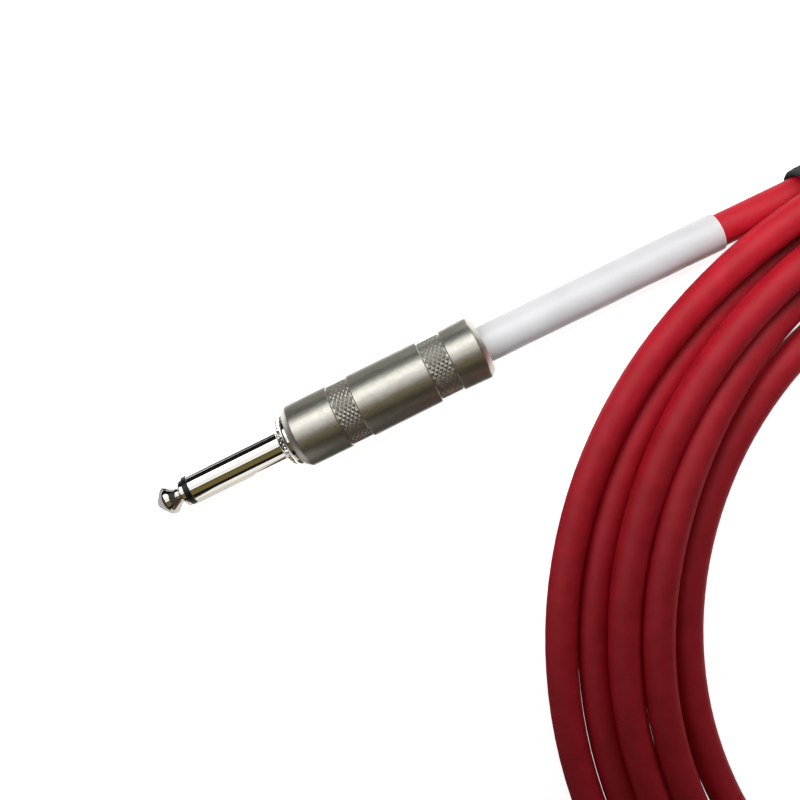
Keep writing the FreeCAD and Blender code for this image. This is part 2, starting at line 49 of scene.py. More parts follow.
# Plug stations and radii, in millimetres from the front of the tip
SLEEVE_FRONT = 7.9
SLEEVE_RADIUS = 3.175
SLEEVE_BORE = 2.25
COLLAR_FRONT = 28.1
COLLAR_FRONT_RADIUS = 4.0
COLLAR_TEETH_REAR = 29.5
COLLAR_TEETH_REAR_RADIUS = 5.05
COLLAR_RADIUS = 5.5
SEAT = 30.5
SHANK_REAR = 37.5
SHANK_RADIUS = 4.9
THREAD_PITCH = 0.75
THREAD_DEPTH = 0.3
BOSS_RADIUS = 3.0
BOSS_REAR = 38.3
BARREL_BEVEL_REAR = 31.9
REAR_BEVEL_START = 71.3
BARREL_REAR = 72.5
BARREL_BORE = 4.95
BARREL_NOSE_RADIUS = 5.55
BARREL_RADIUS = 6.6
WAIST_RADIUS = 6.5
REAR_START_RADIUS = 6.35
REAR_END_RADIUS = 6.5
BARREL_RIM_RADIUS = 5.4
THROAT_FRONT = 67.5
THROAT_RADIUS = 4.05
JACKET_END_REAR = 82.5
BOOT_FRONT = 60.5
BOOT_REAR = 123.0
BOOT_RADIUS = 3.75
BOOT_BORE = 3.3
BOOT_RIPPLE = 0.05
BOOT_RIPPLE_PACE = 0.23
BOOT_LIP = 0.04
BOOT_RING_SPACING = 1.0
CABLE_RADIUS = 3.25

# Grip bands of the barrel: front and rear station, radius. The band's floor lies below that
# radius, and the diamonds stand with their feet just under the floor.
FRONT_BAND = (40.8, 45.4, 6.35)
REAR_BAND = (60.6, 65.4, 6.1)
BAND_FLOOR_DEPTH = 0.22
DIAMOND_FOOT_DEPTH = 0.24

# Where the front of each plug's tip is
PLUG_A_TIP = (-112.25 * MM, 87.5 * MM, 6.6 * MM)
PLUG_B_TIP = (105.65 * MM, -94.1 * MM, 14.9 * MM)
PLUG_PLACES = {
    "a": Matrix.Translation(PLUG_A_TIP),
    "b": Matrix.Translation(PLUG_B_TIP) @ Matrix.Rotation(math.pi / 2, 4, "Z"),
}

# The cable's route lies close to the CAD's. Its free stretches are listed points, in
# metres, and the coil follows a formula.
LEAD_A = [
    (-0.02975, 0.0875, 0.0066),
    (-0.02175, 0.0874, 0.0066),
    (-0.00575, 0.0874, 0.0058),
    (0.01005, 0.0872, 0.0050),
    (0.0253, 0.0870, 0.0047),
    (0.0331, 0.0870, 0.0047),
]
LEAD_B = [
    (0.10565, -0.0116, 0.0149),
    (0.10565, -0.0036, 0.0149),
    (0.1030, 0.0102, 0.0149),
    (0.0992, 0.0208, 0.0147),
    (0.0939, 0.0298, 0.0143),
    (0.0817, 0.0447, 0.0140),
    (0.0729, 0.0515, 0.0117),
    (0.0624, 0.0593, 0.0084),
    (0.0505, 0.0632, 0.0054),
    (0.0406, 0.0644, 0.0047),
]
COIL_CENTRE = Vector((0.0396, -0.0176, 0))
TURNS = 5
POINTS_PER_TURN = 24

# At five places on each turn, as a fraction of a turn from the strap: the radius and the height
# of each of the five turns, the outermost first, in millimetres
COIL_PLACES = [
    (0.0, [104.6, 101.9, 97.4, 94.6, 89.6], [4.7, 11.55, 4.7, 11.55, 4.7]),
    (0.125, [100.0, 92.4, 85.2, 78.5, 72.3], [3.6, 7.0, 3.6, 7.3, 3.5]),
    (0.375, [79.0, 71.8, 64.6, 57.4, 50.0], [3.3, 3.3, 3.3, 3.3, 3.3]),
    (0.70, [100.7, 94.1, 87.8, 81.4, 74.2], [3.3, 3.3, 5.6, 6.2, 3.3]),
    (0.875, [102.0, 95.7, 90.9, 84.6, 78.0], [4.8, 3.3, 8.4, 8.6, 3.3]),
]
COIL_END = (82.0, 4.7)

# The strap: where it lies along X, and the cables that it is drawn tight round, as (y, z)
STRAP_FRONT = 27.7
STRAP_WIDTH = 12.0
STRAP_GAP = 0.35
STRAP_THICKNESS = 1.05
PILE_SPACING = 0.33
STRAP_COLUMNS = 36
STRAP_EDGE_THINNING = 0.96
STRAP_EDGE_POWER = 10
PILE_HEIGHT = 0.16
PILE_FINENESS = 1.9
LAP_START = 82.4
LAP_END = 66.9
LAP_RAMP = 14
LAP_GAP = 0.03
TAIL_CORNER = 3.0
STRAPPED = [(63.0, 4.7), (87.0, 4.7), (84.4, 11.5), (77.0, 11.5)]


# Materials

def material(name):
    """A new material with its node tree, its shader and its object coordinates."""
    made = bpy.data.materials.new(name)
    made.use_nodes = True
    nodes = made.node_tree.nodes
    shader = nodes["Principled BSDF"]
    place = nodes.new("ShaderNodeTexCoord")
    return made, made.node_tree, shader, place.outputs["Object"]


def noise(tree, place, scale, detail=2.0, stretch=(1, 1, 1)):
    """A noise pattern, with its grain stretched along an axis where a stretch is given."""
    mapping = tree.nodes.new("ShaderNodeMapping")
    mapping.inputs["Scale"].default_value = stretch
    tree.links.new(place, mapping.inputs["Vector"])
    texture = tree.nodes.new("ShaderNodeTexNoise")
    texture.inputs["Scale"].default_value = scale
    texture.inputs["Detail"].default_value = detail
    tree.links.new(mapping.outputs["Vector"], texture.inputs["Vector"])
    return texture.outputs["Fac"]


def between(tree, pattern, low, high, start=0.3, end=0.7):
    """A number that follows a pattern between two limits."""
    spread = tree.nodes.new("ShaderNodeMapRange")
    spread.inputs["From Min"].default_value = start
    spread.inputs["From Max"].default_value = end
    spread.inputs["To Min"].default_value = low
    spread.inputs["To Max"].default_value = high
    tree.links.new(pattern, spread.inputs["Value"])
    return spread.outputs["Result"]


def blend(tree, pattern, first, second, start=0.35, end=0.65):
    """A colour that follows a pattern between two colours."""
    ramp = tree.nodes.new("ShaderNodeValToRGB")
    ramp.color_ramp.elements[0].position = start
    ramp.color_ramp.elements[0].color = (*first, 1)
    ramp.color_ramp.elements[1].position = end
    ramp.color_ramp.elements[1].color = (*second, 1)
    tree.links.new(pattern, ramp.inputs["Fac"])
    return ramp.outputs["Color"]


def raise_surface(tree, shader, layers):
    """Bump from several patterns, each with its depth in metres."""
    normal = None
    for pattern, depth in layers:
        bump = tree.nodes.new("ShaderNodeBump")
        bump.inputs["Distance"].default_value = depth
        tree.links.new(pattern, bump.inputs["Height"])
        if normal is not None:
            tree.links.new(normal, bump.inputs["Normal"])
        normal = bump.outputs["Normal"]
    tree.links.new(normal, shader.inputs["Normal"])


def satin_nickel():
    """Blasted and plated barrel: a fine pearly grain under a soft shine."""
    made, tree, shader, place = material("satin nickel")
    grain = noise(tree, place, 2600, 3.0)
    mottle = noise(tree, place, 700, 2.0)
    shader.inputs["Metallic"].default_value = 1.0
    colour = blend(tree, mottle, (0.49, 0.47, 0.42), (0.54, 0.52, 0.465))
    tree.links.new(colour, shader.inputs["Base Color"])
    tree.links.new(between(tree, grain, 0.32, 0.42), shader.inputs["Roughness"])
    raise_surface(tree, shader, [(grain, 0.000022), (mottle, 0.000006)])
    return made


def polished_nickel():
    """Mirror-bright plating with the faint lengthwise marks of use."""
    made, tree, shader, place = material("polished nickel")
    marks = noise(tree, place, 900, 2.0, (0.05, 1, 1))
    haze = noise(tree, place, 160, 2.0)
    shader.inputs["Metallic"].default_value = 1.0
    colour = blend(tree, haze, (0.84, 0.81, 0.75), (0.89, 0.86, 0.81))
    tree.links.new(colour, shader.inputs["Base Color"])
    tree.links.new(between(tree, haze, 0.035, 0.075), shader.inputs["Roughness"])
    raise_surface(tree, shader, [(marks, 0.0000015)])
    return made


def moulded_black():
    """Black insulating plastic with a slight moulding grain."""
    made, tree, shader, place = material("moulded black")
    grain = noise(tree, place, 1800)
    colour = blend(tree, grain, (0.003, 0.003, 0.0035), (0.008, 0.008, 0.009))
    tree.links.new(colour, shader.inputs["Base Color"])
    tree.links.new(between(tree, grain, 0.26, 0.36), shader.inputs["Roughness"])
    shader.inputs["Specular IOR Level"].default_value = 0.25
    raise_surface(tree, shader, [(grain, 0.000004)])
    return made


def red_jacket():
    """Soft matte red jacket with a fine extruded grain."""
    made, tree, shader, place = material("red jacket")
    grain = noise(tree, place, 2200, 3.0)
    mottle = noise(tree, place, 260, 3.0)
    colour = blend(tree, mottle, (0.50, 0.004, 0.016), (0.58, 0.007, 0.024))
    tree.links.new(colour, shader.inputs["Base Color"])
    tree.links.new(between(tree, grain, 0.50, 0.66), shader.inputs["Roughness"])
    shader.inputs["Specular IOR Level"].default_value = 0.22
    raise_surface(tree, shader, [(grain, 0.000012), (mottle, 0.00002)])
    return made


def white_heatshrink():
    """White shrunk tubing: satin, with the slow ripple left by shrinking."""
    made, tree, shader, place = material("white heat-shrink")
    ripple = noise(tree, place, 120, 2.0)
    grain = noise(tree, place, 1500, 2.0)
    colour = blend(tree, ripple, (0.66, 0.655, 0.67), (0.71, 0.705, 0.72))
    tree.links.new(colour, shader.inputs["Base Color"])
    tree.links.new(between(tree, grain, 0.32, 0.42), shader.inputs["Roughness"])
    raise_surface(tree, shader, [(ripple, 0.00004), (grain, 0.000003)])
    return made


def strap_loop():
    """The strap's loop face: a dense black pile."""
    made, tree, shader, place = material("strap loop pile")
    pile = noise(tree, place, 1900, 3.0)
    shader.inputs["Specular IOR Level"].default_value = 0.15
    shader.inputs["Sheen Weight"].default_value = 0.12
    shader.inputs["Sheen Roughness"].default_value = 0.5
    colour = blend(tree, pile, (0.002, 0.002, 0.0025), (0.007, 0.007, 0.008))
    tree.links.new(colour, shader.inputs["Base Color"])
    tree.links.new(between(tree, pile, 0.8, 0.95), shader.inputs["Roughness"])
    raise_surface(tree, shader, [(pile, 0.00025)])
    return made


def plain_metal(name, dark, light, rough, grain_scale=1500):
    """A dull stamped or drawn metal, with a light grain."""
    made, tree, shader, place = material(name)
    grain = noise(tree, place, grain_scale)
    shader.inputs["Metallic"].default_value = 1.0
    colour = blend(tree, grain, dark, light)
    tree.links.new(colour, shader.inputs["Base Color"])
    tree.links.new(between(tree, grain, rough - 0.06, rough + 0.06), shader.inputs["Roughness"])
    raise_surface(tree, shader, [(grain, 0.000006)])
    return made


def natural_plastic():
    """Natural, slightly milky insulation."""
    made, tree, shader, place = material("natural plastic")
    cloud = noise(tree, place, 300)
    shader.inputs["Transmission Weight"].default_value = 0.25
    colour = blend(tree, cloud, (0.74, 0.73, 0.68), (0.80, 0.79, 0.75))
    tree.links.new(colour, shader.inputs["Base Color"])
    tree.links.new(between(tree, cloud, 0.3, 0.42), shader.inputs["Roughness"])
    raise_surface(tree, shader, [(cloud, 0.000005)])
    return made


def conductive_plastic():
    """Matte black conductive layer over the core's insulation."""
    made, tree, shader, place = material("conductive plastic")
    grain = noise(tree, place, 1400)
    colour = blend(tree, grain, (0.012, 0.012, 0.012), (0.03, 0.03, 0.03))
    tree.links.new(colour, shader.inputs["Base Color"])
    tree.links.new(between(tree, grain, 0.6, 0.75), shader.inputs["Roughness"])
    raise_surface(tree, shader, [(grain, 0.00001)])
    return made


FINISHES = {
    "polished nickel": polished_nickel(),
    "satin nickel": satin_nickel(),
    "moulded black": moulded_black(),
    "red jacket": red_jacket(),
    "white heat-shrink": white_heatshrink(),
    "strap loop pile": strap_loop(),
    "plated strip": plain_metal("plated strip", (0.55, 0.54, 0.51), (0.66, 0.65, 0.62), 0.32),
    "brass": plain_metal("brass", (0.60, 0.44, 0.17), (0.74, 0.58, 0.28), 0.28),
    "copper strands": plain_metal(
        "copper strands", (0.60, 0.27, 0.14), (0.78, 0.40, 0.24), 0.34, 5000),
    "solder": plain_metal("solder", (0.52, 0.53, 0.54), (0.66, 0.67, 0.68), 0.22, 900),
    "natural plastic": natural_plastic(),
    "conductive plastic": conductive_plastic(),
}


# Making meshes

def new_piece(name, mesh, finish, body):
    """Show a finished mesh as a piece of the object, riding on a body."""
    piece = bpy.data.objects.new(name, mesh)
    bpy.context.scene.collection.objects.link(piece)
    mesh.materials.clear()
    mesh.materials.append(FINISHES[finish])
    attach(piece, body)
    return piece


def finished_mesh(name, shape, turn_outwards=True):
    """A plain mesh of a shape that is done, its faces turned outwards."""
    if turn_outwards:
        bmesh.ops.recalc_face_normals(shape, faces=shape.faces)
    mesh = bpy.data.meshes.new(name)
    shape.to_mesh(mesh)
    shape.free()
    return mesh


def revolve(name, outline, closed, around=96):
    """A mesh turned about the X axis from (station, radius) corners in millimetres."""
    shape = bmesh.new()
    rings = []
    for station, radius in outline:
        if radius == 0:
            rings.append([shape.verts.new((station * MM, 0, 0))])
            continue
        rings.append([
            shape.verts.new((
                station * MM,
                radius * MM * math.cos(2 * math.pi * step / around),
                radius * MM * math.sin(2 * math.pi * step / around)))
            for step in range(around)
        ])
    pairs = list(zip(rings, rings[1:]))
    if closed:
        pairs.append((rings[-1], rings[0]))
    for first, second in pairs:
        for step in range(around):
            following = (step + 1) % around
            corners = [first[step % len(first)], first[following % len(first)],
                       second[following % len(second)], second[step % len(second)]]
            shape.faces.new(list(dict.fromkeys(corners)))
    return finished_mesh(name, shape)


def bend(start, corner, end, steps=4):
    """Points of a round stretch that leaves its start and meets its end towards a corner."""
    start, corner, end = Vector(start), Vector(corner), Vector(end)
    shares = [step / steps for step in range(steps + 1)]
    return [
        tuple(start * (1 - share) ** 2 + corner * 2 * share * (1 - share) + end * share ** 2)
        for share in shares
    ]


def rounded(outline, radius):
    """A closed outline with its corners rounded."""
    corners = [Vector(corner) for corner in outline]
    made = []
    for number, corner in enumerate(corners):
        before = corners[number - 1] - corner
        after = corners[(number + 1) % len(corners)] - corner
        reach = min(radius, before.length * 0.45, after.length * 0.45)
        made += bend(
            corner + before.normalized() * reach, corner, corner + after.normalized() * reach)
    return made


def smooth(mesh, angle=35):
    """Smooth shading, with edges steeper than an angle kept crisp."""
    mesh.shade_smooth()
    mesh.set_sharp_from_angle(angle=math.radians(angle))
    return mesh


def join_meshes(name, meshes):
    """One mesh of several."""
    shape = bmesh.new()
    for mesh in meshes:
        shape.from_mesh(mesh)
    return finished_mesh(name, shape, turn_outwards=False)


def place_plug(mesh, side):
    """Turn and move a mesh from a plug's own frame to its place."""
    mesh.transform(PLUG_PLACES[side])
    return mesh


# Geometry Nodes: what repeats or follows a path

def new_tree(name, sizes):
    """A geometry tree with a named input for each size, and the sockets of those inputs."""
    tree = bpy.data.node_groups.new(name, "GeometryNodeTree")
    tree.interface.new_socket("Geometry", in_out="OUTPUT", socket_type="NodeSocketGeometry")
    for label, value in sizes.items():
        kind = "NodeSocketInt" if isinstance(value, int) else "NodeSocketFloat"
        tree.interface.new_socket(label, in_out="INPUT", socket_type=kind).default_value = value
    given = tree.nodes.new("NodeGroupInput")
    return tree, given.outputs


def node(tree, kind, inputs=None, **settings):
    """A node with its settings, and its inputs linked or set."""
    made = tree.nodes.new(kind)
    for name, value in settings.items():
        setattr(made, name, value)
    for name, value in (inputs or {}).items():
        if isinstance(value, bpy.types.NodeSocket):
            tree.links.new(value, made.inputs[name])
        else:
            made.inputs[name].default_value = value
    return made


def calc(tree, operation, first, second=0.0):
    """One step of arithmetic."""
    return node(tree, "ShaderNodeMath", {0: first, 1: second}, operation=operation).outputs[0]


def finish_tree(tree, geometry, finish):
    """End a tree in Realize Instances and Set Material."""
    real = node(tree, "GeometryNodeRealizeInstances", {"Geometry": geometry})
    painted = node(tree, "GeometryNodeSetMaterial",
                   {"Geometry": real.outputs["Geometry"], "Material": FINISHES[finish]})
    output = tree.nodes.new("NodeGroupOutput")
    tree.links.new(painted.outputs["Geometry"], output.inputs[0])


def grown_mesh(name, tree, sizes):
    """The plain mesh that a tree makes with these sizes."""
    host = bpy.data.objects.new(name, bpy.data.meshes.new(name))
    bpy.context.scene.collection.objects.link(host)
    modifier = host.modifiers.new(name, "NODES")
    modifier.node_group = tree
    for socket in tree.interface.items_tree:
        if socket.in_out == "INPUT" and socket.name in sizes:
            modifier[socket.identifier] = sizes[socket.name]
    graph = bpy.context.evaluated_depsgraph_get()
    mesh = bpy.data.meshes.new_from_object(host.evaluated_get(graph))
    bpy.data.objects.remove(host)
    return mesh


def ring_place(tree, station, angle, radius):
    """A point on a ring about the X axis, and the direction outwards there."""
    across = calc(tree, "COSINE", angle)
    up = calc(tree, "SINE", angle)
    outward = node(tree, "ShaderNodeCombineXYZ", {"Y": across, "Z": up}).outputs[0]
    point = node(tree, "ShaderNodeCombineXYZ", {
        "X": station, "Y": calc(tree, "MULTIPLY", across, radius),
        "Z": calc(tree, "MULTIPLY", up, radius)}).outputs[0]
    return point, outward


def knurl_tree():
    """A band of raised diamonds in staggered columns round the barrel."""
    tree, size = new_tree("diamond knurl", {
        "Columns": 9, "Rows": 30, "Band Front": 0.0408, "Band Width": 0.0046,
        "Radius": 0.00635, "Height": 0.00021})
    index = node(tree, "GeometryNodeInputIndex").outputs[0]
    column = calc(tree, "MODULO", index, size["Columns"])
    row = calc(tree, "FLOOR", calc(tree, "DIVIDE", index, size["Columns"]))
    half_length = calc(tree, "DIVIDE", size["Band Width"], calc(tree, "ADD", size["Columns"], 1.0))
    station = calc(tree, "ADD", size["Band Front"],
                   calc(tree, "MULTIPLY", half_length, calc(tree, "ADD", column, 1.0)))
    odd_column = calc(tree, "MODULO", column, 2.0)
    shifted = calc(tree, "ADD", row, calc(tree, "MULTIPLY", odd_column, 0.5))
    step = calc(tree, "DIVIDE", 2 * math.pi, size["Rows"])
    angle = calc(tree, "MULTIPLY", shifted, step)
    point, outward = ring_place(tree, station, angle, size["Radius"])
    count = calc(tree, "MULTIPLY", size["Columns"], size["Rows"])
    line = node(tree, "GeometryNodeMeshLine", {"Count": count})
    placed = node(tree, "GeometryNodeSetPosition",
                  {"Geometry": line.outputs["Mesh"], "Position": point})
    diamond = node(tree, "GeometryNodeMeshCone", {
        "Vertices": 4, "Radius Top": 0.12, "Radius Bottom": 1.0, "Depth": 1.0})
    upright = node(tree, "FunctionNodeAlignRotationToVector", {"Vector": outward}, axis="Z")
    turned = node(tree, "FunctionNodeAlignRotationToVector", {
        "Rotation": upright.outputs[0], "Vector": (1, 0, 0)}, axis="X", pivot_axis="Z")
    half_width = calc(tree, "MULTIPLY", calc(tree, "MULTIPLY", step, 0.5), size["Radius"])
    scale = node(tree, "ShaderNodeCombineXYZ",
                 {"X": half_length, "Y": half_width, "Z": size["Height"]}).outputs[0]
    diamonds = node(tree, "GeometryNodeInstanceOnPoints", {
        "Points": placed.outputs["Geometry"], "Instance": diamond.outputs["Mesh"],
        "Rotation": turned.outputs[0], "Scale": scale})
    finish_tree(tree, diamonds.outputs["Instances"], "satin nickel")
    return tree


def collar_teeth_tree():
    """Slanting teeth milled round the collar's cone."""
    tree, size = new_tree("collar teeth", {
        "Teeth": 32, "Station": 0.02895, "Radius": 0.00455, "Half Length": 0.0007,
        "Half Width": 0.00034, "Height": 0.00022, "Cone": 0.6, "Slant": 0.75})
    index = node(tree, "GeometryNodeInputIndex").outputs[0]
    angle = calc(tree, "MULTIPLY", index, calc(tree, "DIVIDE", 2 * math.pi, size["Teeth"]))
    point, outward = ring_place(tree, size["Station"], angle, size["Radius"])
    line = node(tree, "GeometryNodeMeshLine", {"Count": size["Teeth"]})
    placed = node(tree, "GeometryNodeSetPosition",
                  {"Geometry": line.outputs["Mesh"], "Position": point})
    cone_sine = calc(tree, "SINE", size["Cone"])
    cone_cosine = calc(tree, "COSINE", size["Cone"])
    along_axis = node(tree, "ShaderNodeVectorMath", {0: (1, 0, 0)}, operation="SCALE")
    tree.links.new(calc(tree, "MULTIPLY", cone_sine, -1.0), along_axis.inputs["Scale"])
    away = node(tree, "ShaderNodeVectorMath", {0: outward}, operation="SCALE")
    tree.links.new(cone_cosine, away.inputs["Scale"])
    normal = node(tree, "ShaderNodeVectorMath",
                  {0: along_axis.outputs[0], 1: away.outputs[0]}, operation="ADD").outputs[0]
    round_axis = node(tree, "ShaderNodeVectorMath", {0: (1, 0, 0), 1: outward},
                      operation="CROSS_PRODUCT").outputs[0]
    slanted = node(tree, "ShaderNodeVectorMath", {0: round_axis}, operation="SCALE")
    tree.links.new(size["Slant"], slanted.inputs["Scale"])
    direction = node(tree, "ShaderNodeVectorMath",
                     {0: (1, 0, 0), 1: slanted.outputs[0]}, operation="ADD").outputs[0]
    tooth = node(tree, "GeometryNodeMeshCone", {
        "Vertices": 8, "Radius Top": 0.45, "Radius Bottom": 1.0, "Depth": 1.0})
    upright = node(tree, "FunctionNodeAlignRotationToVector", {"Vector": normal}, axis="Z")
    turned = node(tree, "FunctionNodeAlignRotationToVector", {
        "Rotation": upright.outputs[0], "Vector": direction}, axis="X", pivot_axis="Z")
    scale = node(tree, "ShaderNodeCombineXYZ", {
        "X": size["Half Length"], "Y": size["Half Width"], "Z": size["Height"]}).outputs[0]
    teeth = node(tree, "GeometryNodeInstanceOnPoints", {
        "Points": placed.outputs["Geometry"], "Instance": tooth.outputs["Mesh"],
        "Rotation": turned.outputs[0], "Scale": scale})
    finish_tree(tree, teeth.outputs["Instances"], "polished nickel")
    return tree


def thread_tree():
    """A screw thread: a ridge that follows a helix about the Z axis."""
    tree, size = new_tree("screw thread", {
        "Turns": 9.0, "Pitch": 0.00075, "Radius": 0.0046, "Depth": 0.0003})
    height = calc(tree, "MULTIPLY", size["Turns"], size["Pitch"])
    helix = node(tree, "GeometryNodeCurveSpiral", {
        "Resolution": 64, "Rotations": size["Turns"], "Start Radius": size["Radius"],
        "End Radius": size["Radius"], "Height": height})
    ridge = node(tree, "GeometryNodeCurvePrimitiveCircle",
                 {"Resolution": 3, "Radius": size["Depth"]})
    swept = node(tree, "GeometryNodeCurveToMesh", {
        "Curve": helix.outputs["Curve"], "Profile Curve": ridge.outputs["Curve"],
        "Fill Caps": True})
    finish_tree(tree, swept.outputs["Mesh"], "polished nickel")
    return tree


KNURL = knurl_tree()
TEETH = collar_teeth_tree()
THREAD = thread_tree()


# The plug's visible pieces

def tip_contact(side):
    """The pointed tip, its round shoulder, the waisted neck and the rim behind it."""
    nose = bend((0.0, 0.0), (0.0, 0.62), (0.4, 1.06))
    ball = (bend((1.6, 2.5), (2.1, 3.09), (2.75, 3.09))
            + bend((2.75, 3.09), (3.15, 3.09), (3.5, 2.8))[1:])
    neck = (bend((4.3, 2.1), (4.75, 1.66), (5.1, 1.66))
            + bend((5.1, 1.66), (5.35, 1.66), (5.45, 1.96))[1:])
    rim = bend((5.74, 2.6), (5.88, 2.9), (6.0, 2.9)) + [(6.62, 2.9), (6.7, 2.82)]
    rod = [(6.7, 1.2), (39.8, 1.2), (39.8, 1.9), (40.2, 1.85), (40.5, 1.4), (40.5, 0.0)]
    outline = nose + ball + neck + rim + rod
    mesh = place_plug(smooth(revolve(f"tip_contact_{side}", outline, False), 50), side)
    piece = new_piece(f"tip_{side}", mesh, "polished nickel", MAIN_BODY)
    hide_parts(f"tip_contact_{side}")


def sleeve(side):
    """The plated sleeve, its collar with slanting teeth, and the threaded shank behind it."""
    root = SHANK_RADIUS - THREAD_DEPTH
    outline = [
        (SLEEVE_FRONT, SLEEVE_BORE), (SLEEVE_FRONT, SLEEVE_RADIUS), (COLLAR_FRONT, SLEEVE_RADIUS),
        (COLLAR_FRONT, COLLAR_FRONT_RADIUS), (28.35, 4.2),
        (COLLAR_TEETH_REAR, COLLAR_TEETH_REAR_RADIUS), (29.7, 5.32), (30.05, COLLAR_RADIUS),
        (SEAT, COLLAR_RADIUS), (SEAT, root), (SHANK_REAR, root),
        (SHANK_REAR, BOSS_RADIUS), (BOSS_REAR, BOSS_RADIUS), (BOSS_REAR, SLEEVE_BORE),
    ]
    body = smooth(revolve("sleeve", rounded(outline, 0.12), True), 40)
    teeth = grown_mesh("teeth", TEETH, {})
    thread = grown_mesh("thread", THREAD, {})
    thread.transform(Matrix.Translation((SEAT * MM, 0, 0)) @ Matrix.Rotation(math.pi / 2, 4, "Y"))
    mesh = place_plug(join_meshes(f"sleeve_{side}", [body, teeth, thread]), side)
    piece = new_piece(f"sleeve_{side}", mesh, "polished nickel", MAIN_BODY)
    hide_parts(f"sleeve_body_{side}")


def barrel(side):
    """The screw-on handle: bevelled ends, two diamond-knurled bands, a throat for the boot."""
    front_start, front_end, front_radius = FRONT_BAND
    rear_start, rear_end, rear_radius = REAR_BAND
    front_floor = front_radius - BAND_FLOOR_DEPTH
    rear_floor = rear_radius - BAND_FLOOR_DEPTH
    outline = [
        (SEAT, BARREL_BORE), (SEAT, BARREL_NOSE_RADIUS), (BARREL_BEVEL_REAR, BARREL_RADIUS),
        (front_start, BARREL_RADIUS), (front_start, front_floor), (front_end, front_floor),
        (front_end, BARREL_RADIUS), (rear_start, WAIST_RADIUS), (rear_start, rear_floor),
        (rear_end, rear_floor), (rear_end, REAR_START_RADIUS), (REAR_BEVEL_START, REAR_END_RADIUS),
        (BARREL_REAR, BARREL_RIM_RADIUS), (BARREL_REAR, THROAT_RADIUS),
        (THROAT_FRONT, THROAT_RADIUS), (THROAT_FRONT, BARREL_BORE),
    ]
    shell = smooth(revolve("barrel", rounded(outline, 0.25), True, 128), 30)
    bands = [
        grown_mesh("band", KNURL, {
            "Band Front": start * MM, "Band Width": (end - start) * MM,
            "Radius": (radius - DIAMOND_FOOT_DEPTH) * MM})
        for start, end, radius in (FRONT_BAND, REAR_BAND)
    ]
    mesh = place_plug(join_meshes(f"barrel_shell_{side}", [shell] + bands), side)
    piece = new_piece(f"screw_on_barrel_{side}", mesh, "satin nickel",
                      f"screw_barrel_{side}")
    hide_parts(f"barrel_{side}")


# Cable, boots and strap

def slopes(counts, values):
    """Slope of a smooth curve at each value: level at a peak or dip, and at both ends."""
    steps = [
        (after - before) / (later - earlier)
        for before, after, earlier, later in zip(values, values[1:], counts, counts[1:])
    ]
    inner = [
        2 * left * right / (left + right) if left * right > 0 else 0.0
        for left, right in zip(steps, steps[1:])
    ]
    return [0.0] + inner + [0.0]


def smooth_value(counts, values, count):
    """The value of the smooth curve through the places of the coil, at a count of turns."""
    grades = slopes(counts, values)
    place = max(index for index in range(len(counts) - 1) if counts[index] <= count)
    span = counts[place + 1] - counts[place]
    share = (count - counts[place]) / span
    back = 1 - share
    return (
        values[place] * (1 + 2 * share) * back ** 2
        + grades[place] * span * share * back ** 2
        + values[place + 1] * share ** 2 * (3 - 2 * share)
        - grades[place + 1] * span * share ** 2 * back
    )


def coil_points():
    """The spline's points along the five turns, a little outside the line that they draw."""
    counts, radii, heights = [], [], []
    for turn in range(TURNS):
        for fraction, place_radii, place_heights in COIL_PLACES:
            counts.append(turn + fraction)
            radii.append(place_radii[turn])
            heights.append(place_heights[turn])
    counts.append(TURNS)
    radii.append(COIL_END[0])
    heights.append(COIL_END[1])
    points = []
    for step in range(1, TURNS * POINTS_PER_TURN):
        count = step / POINTS_PER_TURN
        angle = math.pi / 2 - 2 * math.pi * count
        radius = smooth_value(counts, radii, count) * MM / math.cos(math.pi / POINTS_PER_TURN)
        height = smooth_value(counts, heights, count) * MM
        around = Vector((radius * math.cos(angle), radius * math.sin(angle), height))
        points.append(COIL_CENTRE + around)
    return points


def cable_route():
    """All of the spline's points, from the end in plug A to the end in plug B."""
    lead_a = [Vector(point) for point in LEAD_A]
    lead_b = [Vector(point) for point in reversed(LEAD_B)]
    return lead_a + coil_points() + lead_b


def cable_spline(name):
    """The cable's centre line as one smooth spline."""
    route = cable_route()
    curve = bpy.data.curves.new(name, "CURVE")
    curve.dimensions = "3D"
    spline = curve.splines.new("NURBS")
    spline.points.add(len(route) - 1)
    for point, place in zip(spline.points, route):
        point.co = (*place, 1)
    spline.order_u = 3
    spline.use_endpoint_u = True
    curve.resolution_u = 6
    spline.resolution_u = 6
    return curve


def centre_line():
    """Points read from the cable's spline, from plug A to plug B."""
    curve = cable_spline("centre line")
    holder = bpy.data.objects.new("centre line", curve)
    bpy.context.scene.collection.objects.link(holder)
    graph = bpy.context.evaluated_depsgraph_get()
    mesh = bpy.data.meshes.new_from_object(holder.evaluated_get(graph))
    line = [vertex.co.copy() for vertex in mesh.vertices]
    bpy.data.objects.remove(holder)
    bpy.data.meshes.remove(mesh)
    return line


def red_cable():
    """The cable from jacket end to jacket end: lead A, the coil and lead B."""
    curve = cable_spline("red cable")
    curve.bevel_depth = CABLE_RADIUS * MM
    curve.bevel_resolution = 8
    curve.use_fill_caps = True
    cable = bpy.data.objects.new("red_cable", curve)
    bpy.context.scene.collection.objects.link(cable)
    curve.materials.append(FINISHES["red jacket"])
    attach(cable, MAIN_BODY)
    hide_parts("lead_a", "cable_coil", "lead_b")


def stretch(line, length):
    """The first part of a line of points, cut at a length."""
    kept = [line[0]]
    for before, after in zip(line, line[1:]):
        step = (after - before).length
        if step >= length:
            kept.append(before.lerp(after, length / step))
            return kept
        kept.append(after)
        length -= step
    return kept


